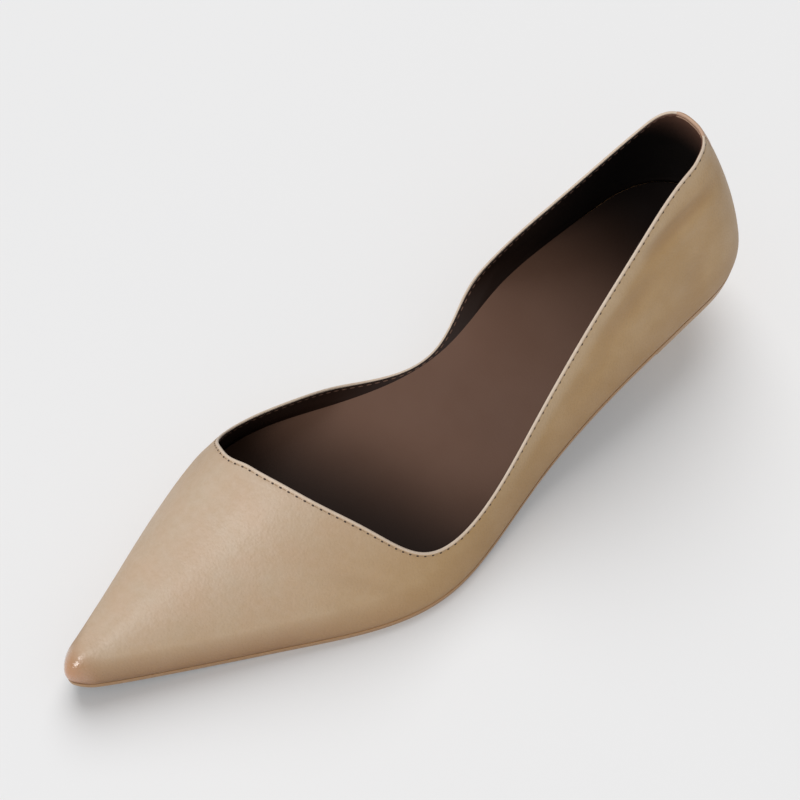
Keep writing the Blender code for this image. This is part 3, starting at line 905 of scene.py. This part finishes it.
# %% [markdown]
# ## Stitches along the topline
#
# One row of machine stitches holds the fold. Each stitch is a short thread that dives into a needle hole at
# both ends, and the shade in each hole is painted as a dark dot. Modelling them one by one would be endless,
# so a Geometry Nodes tree walks along a guide line, drops one small shape at every step and turns it to the
# line and the wall.

# %% Geometry Nodes tree for shapes along a seam
PITCH = 2.7 * MM
# The bead is 1 across before it is scaled, so its scale is its size.
BEAD_SEGMENTS, BEAD_RINGS, BEAD_RADIUS = 8, 5, 0.5


def seam_tree():
    """A tree that sets a small rounded shape at every pitch along a guide line."""
    tree = bpy.data.node_groups.new("along_the_seam", "GeometryNodeTree")
    tree.interface.new_socket("Guide", in_out="INPUT", socket_type="NodeSocketGeometry")
    for name in ("Pitch", "Length", "Width", "Height"):
        socket = tree.interface.new_socket(name, in_out="INPUT", socket_type="NodeSocketFloat")
        socket.subtype = "DISTANCE"
    tree.interface.new_socket("Finish", in_out="INPUT", socket_type="NodeSocketMaterial")
    tree.interface.new_socket("Seam", in_out="OUTPUT", socket_type="NodeSocketGeometry")

    def node(kind, **settings):
        made = tree.nodes.new(kind)
        for name, value in settings.items():
            setattr(made, name, value)
        return made

    given = node("NodeGroupInput")
    line = node("GeometryNodeMeshToCurve")
    steps = node("GeometryNodeResampleCurve", mode="LENGTH")
    tangent = node("GeometryNodeInputTangent")
    outward = node("GeometryNodeInputNamedAttribute", data_type="FLOAT_VECTOR")
    outward.inputs["Name"].default_value = "outward"
    turn = node("FunctionNodeAlignRotationToVector", axis="X")
    lean = node("FunctionNodeAlignRotationToVector", axis="Z", pivot_axis="X")
    bead = node("GeometryNodeMeshUVSphere")
    bead.inputs["Segments"].default_value = BEAD_SEGMENTS
    bead.inputs["Rings"].default_value = BEAD_RINGS
    bead.inputs["Radius"].default_value = BEAD_RADIUS
    size = node("ShaderNodeCombineXYZ")
    drop = node("GeometryNodeInstanceOnPoints")
    real = node("GeometryNodeRealizeInstances")
    paint = node("GeometryNodeSetMaterial")
    result = node("NodeGroupOutput")
    for source, target in (
        (given.outputs["Guide"], line.inputs["Mesh"]),
        (line.outputs["Curve"], steps.inputs["Curve"]),
        (given.outputs["Pitch"], steps.inputs["Length"]),
        (tangent.outputs["Tangent"], turn.inputs["Vector"]),
        (turn.outputs["Rotation"], lean.inputs["Rotation"]),
        (outward.outputs["Attribute"], lean.inputs["Vector"]),
        (given.outputs["Length"], size.inputs["X"]),
        (given.outputs["Width"], size.inputs["Y"]),
        (given.outputs["Height"], size.inputs["Z"]),
        (steps.outputs["Curve"], drop.inputs["Points"]),
        (bead.outputs["Mesh"], drop.inputs["Instance"]),
        (lean.outputs["Rotation"], drop.inputs["Rotation"]),
        (size.outputs["Vector"], drop.inputs["Scale"]),
        (drop.outputs["Instances"], real.inputs["Geometry"]),
        (real.outputs["Geometry"], paint.inputs["Geometry"]),
        (given.outputs["Finish"], paint.inputs["Material"]),
        (paint.outputs["Geometry"], result.inputs["Seam"]),
    ):
        tree.links.new(source, target)
    return tree


SEAM_TREE = seam_tree()
print("tree:", SEAM_TREE.name, "with", len(SEAM_TREE.nodes), "nodes")

# %% [markdown]
# The guide is a plain line of points on the wall, in the groove. It carries the wall's outward direction, so
# that each shape lies flat. The tree's inputs are set by their identifiers before the object is evaluated.

# %% Threads and painted shade in the needle holes
TAB_CLEAR = TAB_WIDTH / 2 + 1.2 * MM
GUIDE_STEP = 0.5 * MM
SEAM_COLUMNS = ("name", "late", "length", "width", "height", "proud", "finish", "slot", "inside")
SEAMS = (
    ("topline_threads", 0.0, 2.0, 0.40, 0.30, -0.05, thread_finish, "upper", False),
    # The needle holes are dark dots of painted shade.
    ("topline_needle_holes", 0.5, 1.0, 0.68, 0.30, -0.02, hole_shade_finish, "upper", False),
    ("lining_threads", 0.0, 1.9, 0.40, 0.26, 0.0, brown_thread_finish, "insole", True),
)


def seam_guide(late, proud, inside):
    """A line of points in the groove, or behind it on the lining, from one side of the tab to the other."""
    lengths = np.arange(TAB_CLEAR + late * PITCH, TOPLINE_LENGTH - TAB_CLEAR, GUIDE_STEP)
    columns = Columns(along_topline(lengths))
    bed = columns.points(STITCH_DOWN, 0)
    outward = unit(columns.points(STITCH_DOWN, LEATHER) - bed)
    surface = upper_relief(bed, np.full(len(bed), STITCH_DOWN))
    if inside:
        outward = -outward
        surface = -lining_surface(STITCH_DOWN)
    points = bed + outward * np.broadcast_to(surface + proud, len(bed))[:, None]
    mesh = bpy.data.meshes.new("seam_guide")
    mesh.from_pydata(points.tolist(), [(i, i + 1) for i in range(len(points) - 1)], [])
    carried = mesh.attributes.new("outward", "FLOAT_VECTOR", "POINT")
    carried.data.foreach_set("vector", outward.astype(np.float32).ravel())
    return mesh


def sewn(seam):
    """One row of threads, or of dark dots of painted shade in the needle holes, made a plain mesh."""
    line = seam_guide(seam["late"], seam["proud"] * MM, seam["inside"])
    guide = bpy.data.objects.new("guide", line)
    scene.collection.objects.link(guide)
    modifier = guide.modifiers.new("seam", "NODES")
    modifier.node_group = SEAM_TREE
    inputs = {s.name: s.identifier for s in SEAM_TREE.interface.items_tree if s.in_out == "INPUT"}
    modifier[inputs["Pitch"]] = PITCH
    for name in ("Length", "Width", "Height"):
        modifier[inputs[name]] = seam[name.lower()] * MM
    modifier[inputs["Finish"]] = seam["finish"]
    bpy.context.view_layer.update()
    mesh = bpy.data.meshes.new_from_object(guide.evaluated_get(bpy.context.evaluated_depsgraph_get()))
    mesh.name = seam["name"]
    guide.modifiers.remove(modifier)
    bpy.data.objects.remove(guide)
    return add_piece(seam["name"], mesh, seam["finish"])


for row in SEAMS:
    seam = dict(zip(SEAM_COLUMNS, row))
    piece = sewn(seam)
    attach(piece, "root")
    print(piece.name, len(piece.data.polygons), "faces")

# %% [markdown]
# ## Footbed, sole plate, heel and its tip
#
# These four keep the construction model's shape. Their loose triangles are merged and paired into quads, the
# sharp edges get a small bevel, and a subdivision surface rounds the rest. The bevel comes first, because it
# gives the subdivision something to hold each edge with. The sole plate's edge is pared towards its underside
# and painted tan, along with its top, which shows as a thin line under the upper.

# %% Smooth pieces from the construction model
QUAD_FLATNESS = math.radians(40)
QUAD_SHAPE = math.radians(60)
BEVEL_ANGLE = math.radians(38)
EDGE_STEEPNESS = 0.5
BEVEL_STEPS = 2
PARED_UNDER = 0.3 * MM
SOLID_COLUMNS = ("name", "node", "bevel", "levels", "finish", "slot")
SOLIDS = (
    ("footbed", "insole", 0.7, 2, footbed_finish, "insole"),
    ("sole_plate", "outsole", 0.5, 2, sole_finish, "outsole"),
    ("covered_heel", "heel", 0.6, 2, heel_finish, "heel"),
    ("heel_tip", "top_piece", 0.3, 1, rubber_finish, "top_piece"),
)


def pare(mesh):
    """Slopes a plate's edge inwards to its underside, and returns the numbers of the faces to paint."""
    mesh.normal_update()
    painted = [face for face in mesh.faces if face.normal.z > -EDGE_STEEPNESS]
    sides = [face for face in painted if face.normal.z < EDGE_STEEPNESS]
    for vert in {vert for face in sides for vert in face.verts}:
        if any(face.normal.z < -EDGE_STEEPNESS for face in vert.link_faces):
            outward = sum((face.normal for face in vert.link_faces if face in sides), Vector())
            outward.z = 0
            vert.co -= outward.normalized() * PARED_UNDER
    mesh.faces.index_update()
    return [face.index for face in painted]


def smoothed(solid):
    """A construction node as a piece with rounded edges and smooth faces."""
    mesh = merged(solid["node"])
    bmesh.ops.join_triangles(
        mesh, faces=mesh.faces, angle_face_threshold=QUAD_FLATNESS, angle_shape_threshold=QUAD_SHAPE
    )
    painted = pare(mesh) if solid["name"] == "sole_plate" else []
    data = bpy.data.meshes.new(solid["name"])
    mesh.to_mesh(data)
    mesh.free()
    piece = add_piece(solid["name"], data, solid["finish"])
    if painted:
        data.materials.append(edge_finish)
    for face in painted:
        data.polygons[face].material_index = 1
    edges = piece.modifiers.new("rounded_edges", "BEVEL")
    edges.width = solid["bevel"] * MM
    edges.segments = BEVEL_STEPS
    edges.limit_method = "ANGLE"
    edges.angle_limit = BEVEL_ANGLE
    surface = piece.modifiers.new("smooth_surface", "SUBSURF")
    surface.levels = solid["levels"]
    surface.render_levels = solid["levels"]
    return piece


for row in SOLIDS:
    solid = dict(zip(SOLID_COLUMNS, row))
    piece = smoothed(solid)
    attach(piece, "root")
    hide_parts(solid["node"])
    print(piece.name, len(piece.data.polygons), "faces before smoothing")

# %% [markdown]
# ## Floor and light
#
# The shoe stands on a plain pale floor under soft studio light. One wide lamp stands beyond the toe and
# leaves the inside dark behind the throat, one lights the inner side, and one that only makes reflections
# puts the glint on the toe. A product picture has a short, pale shadow, which these lamps would make long and
# dark. Light linking lets each lamp reach chosen objects only, so the floor, a faintly glowing light table,
# has a lamp of its own. The rest comes evenly from all round.

# %% Floor and world
FLOOR_SIZE = 60.0
FLOOR_GLOW = 0.18
PAPER_TONES = ((0.66, 0.66, 0.664, 1), (0.672, 0.672, 0.676, 1))
PAPER_CLOUD_SIZE = 0.5
SKY_STRENGTH = 0.40
WHITE = (1, 1, 1, 1)

floor_mesh = bpy.data.meshes.new("floor")
half = FLOOR_SIZE / 2
corners = [(-half, -half, 0), (half, -half, 0), (half, half, 0), (-half, half, 0)]
floor_mesh.from_pydata(corners, [], [(0, 1, 2, 3)])
floor = bpy.data.objects.new("floor", floor_mesh)
paper = Finish("pale_paper")
tone = paper.mixed(paper.ranged(paper.noise(PAPER_CLOUD_SIZE), 0, 1), *PAPER_TONES)
paper.use(Emission_Color=WHITE, Emission_Strength=FLOOR_GLOW)
floor_mesh.materials.append(paper.use(Base_Color=tone, Roughness=0.9, Specular_IOR_Level=0.1))
scene.collection.objects.link(floor)

world = bpy.data.worlds.new("studio")
world.use_nodes = True
sky = world.node_tree.nodes["Background"]
sky.inputs["Color"].default_value = WHITE
sky.inputs["Strength"].default_value = SKY_STRENGTH
scene.world = world
print("floor of", FLOOR_SIZE, "m under", world.name)

# %% Lamps
LAMP_COLUMNS = ("name", "travel", "softness", "strength", "lights", "only_reflects")
LAMPS = (
    ("toe_lamp", (-0.14, 0.60, -0.79), 30, 1.36, "shoe", False),
    ("inner_lamp", (0.62, 0.16, -0.77), 32, 0.42, "shoe", False),
    ("toe_glint", (-0.25, 0.92, -0.30), 19, 0.75, "shoe", True),
    ("floor_lamp", (0.44, -0.36, -0.82), 48, 2.24, "floor", False),
)

reached = {name: bpy.data.collections.new("lit_" + name) for name in ("shoe", "floor")}
for thing in scene.objects:
    if thing.type == "MESH":
        reached["floor" if thing == floor else "shoe"].objects.link(thing)

for row in LAMPS:
    lamp = dict(zip(LAMP_COLUMNS, row))
    light = bpy.data.objects.new(lamp["name"], bpy.data.lights.new(lamp["name"], "SUN"))
    light.data.energy = lamp["strength"]
    light.data.angle = math.radians(lamp["softness"])
    light.rotation_mode = "QUATERNION"
    light.rotation_quaternion = Vector(lamp["travel"]).to_track_quat("-Z", "Y")
    light.light_linking.receiver_collection = reached[lamp["lights"]]
    light.visible_diffuse = not lamp["only_reflects"]
    scene.collection.objects.link(light)
scene.view_settings.view_transform = "Standard"
